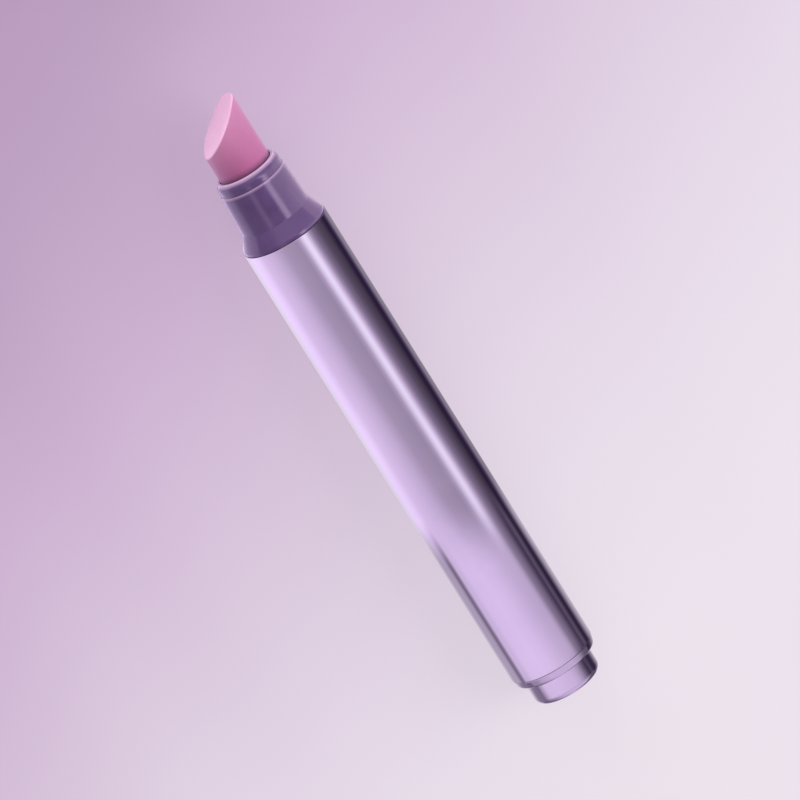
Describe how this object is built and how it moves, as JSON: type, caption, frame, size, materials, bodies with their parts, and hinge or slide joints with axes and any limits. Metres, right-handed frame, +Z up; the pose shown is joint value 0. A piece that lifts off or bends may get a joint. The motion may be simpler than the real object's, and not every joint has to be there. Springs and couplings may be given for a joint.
{
  "type": "nail care pen",
  "caption": "Push-button nail care pen with metallised barrel, flared collar, slanted soft tip, ratchet and lead screw feed, and pull-off cap.",
  "frame": {"origin": "centre of the push button's flat end face, on the pen's axis", "axes": "+X runs along the pen from the button to the tip, and +Z is up from the surface that the pen lies on"},
  "size_m": [0.1623, 0.013, 0.013],
  "materials": {
    "lilac_metal": "moulded plastic, vacuum metallised to a lilac mirror",
    "purple_plastic": "satin, slightly translucent",
    "pink_foam": "soft, matt, fine pored",
    "clear_plastic": "clear",
    "white_plastic": "natural white, satin",
    "violet_plastic": "satin",
    "spring_steel": "drawn wire",
    "soft_seal": "matt"
  },
  "bodies": {
    "pen_body": {"barrel": "lilac_metal", "end_ring": "lilac_metal", "mechanism_housing": "white_plastic", "lock_ring": "white_plastic", "return_spring": "spring_steel", "drive_nut": "white_plastic", "reservoir": "clear_plastic", "collar": "purple_plastic", "collar_seal": "soft_seal", "feed_tube": "clear_plastic", "tip_sleeve": "purple_plastic", "applicator_tip": "pink_foam"},
    "button": {"push_button": "lilac_metal", "button_cam": "violet_plastic"},
    "washer": {"thrust_washer": "spring_steel"},
    "rotor": {"ratchet_rotor": "violet_plastic"},
    "piston": {"piston_core": "white_plastic", "piston_seal": "soft_seal"},
    "screw": {"lead_screw": "white_plastic"},
    "cap": {"cap_shell": "lilac_metal", "cap_liner": "white_plastic"}
  },
  "joints": [
    {"name": "button_press", "type": "slide", "parent": "pen_body", "child": "button", "axis": [1, 0, 0], "range_m": [0, 0.0022], "stiffness_N_per_m": 600, "springref_m": -0.003},
    {"name": "rotor_lift", "type": "slide", "parent": "pen_body", "child": "washer", "axis": [1, 0, 0], "range_m": [0, 0.0022], "deforming": ["return_spring"]},
    {"name": "rotor_turn", "type": "hinge", "parent": "washer", "child": "rotor", "pos_m": [0.01762, 0, 0], "axis": [1, 0, 0], "range_deg": [0, 4320]},
    {"name": "piston_feed", "type": "slide", "parent": "pen_body", "child": "piston", "axis": [1, 0, 0], "range_m": [0, 0.024]},
    {"name": "screw_turn", "type": "hinge", "parent": "piston", "child": "screw", "pos_m": [0.03732, 0, 0], "axis": [1, 0, 0], "range_deg": [0, 4320]},
    {"name": "cap_slide", "type": "slide", "parent": "pen_body", "child": "cap", "axis": [-1, 0, 0], "range_m": [0, 0.04486]}
  ],
  "couplings": [
    {"joint": "rotor_lift", "follows": "button_press", "ratio": 1},
    {"joint": "rotor_turn", "follows": "piston_feed", "rad_per_m": 3141.6},
    {"joint": "screw_turn", "follows": "piston_feed", "rad_per_m": 3141.6}
  ]
}
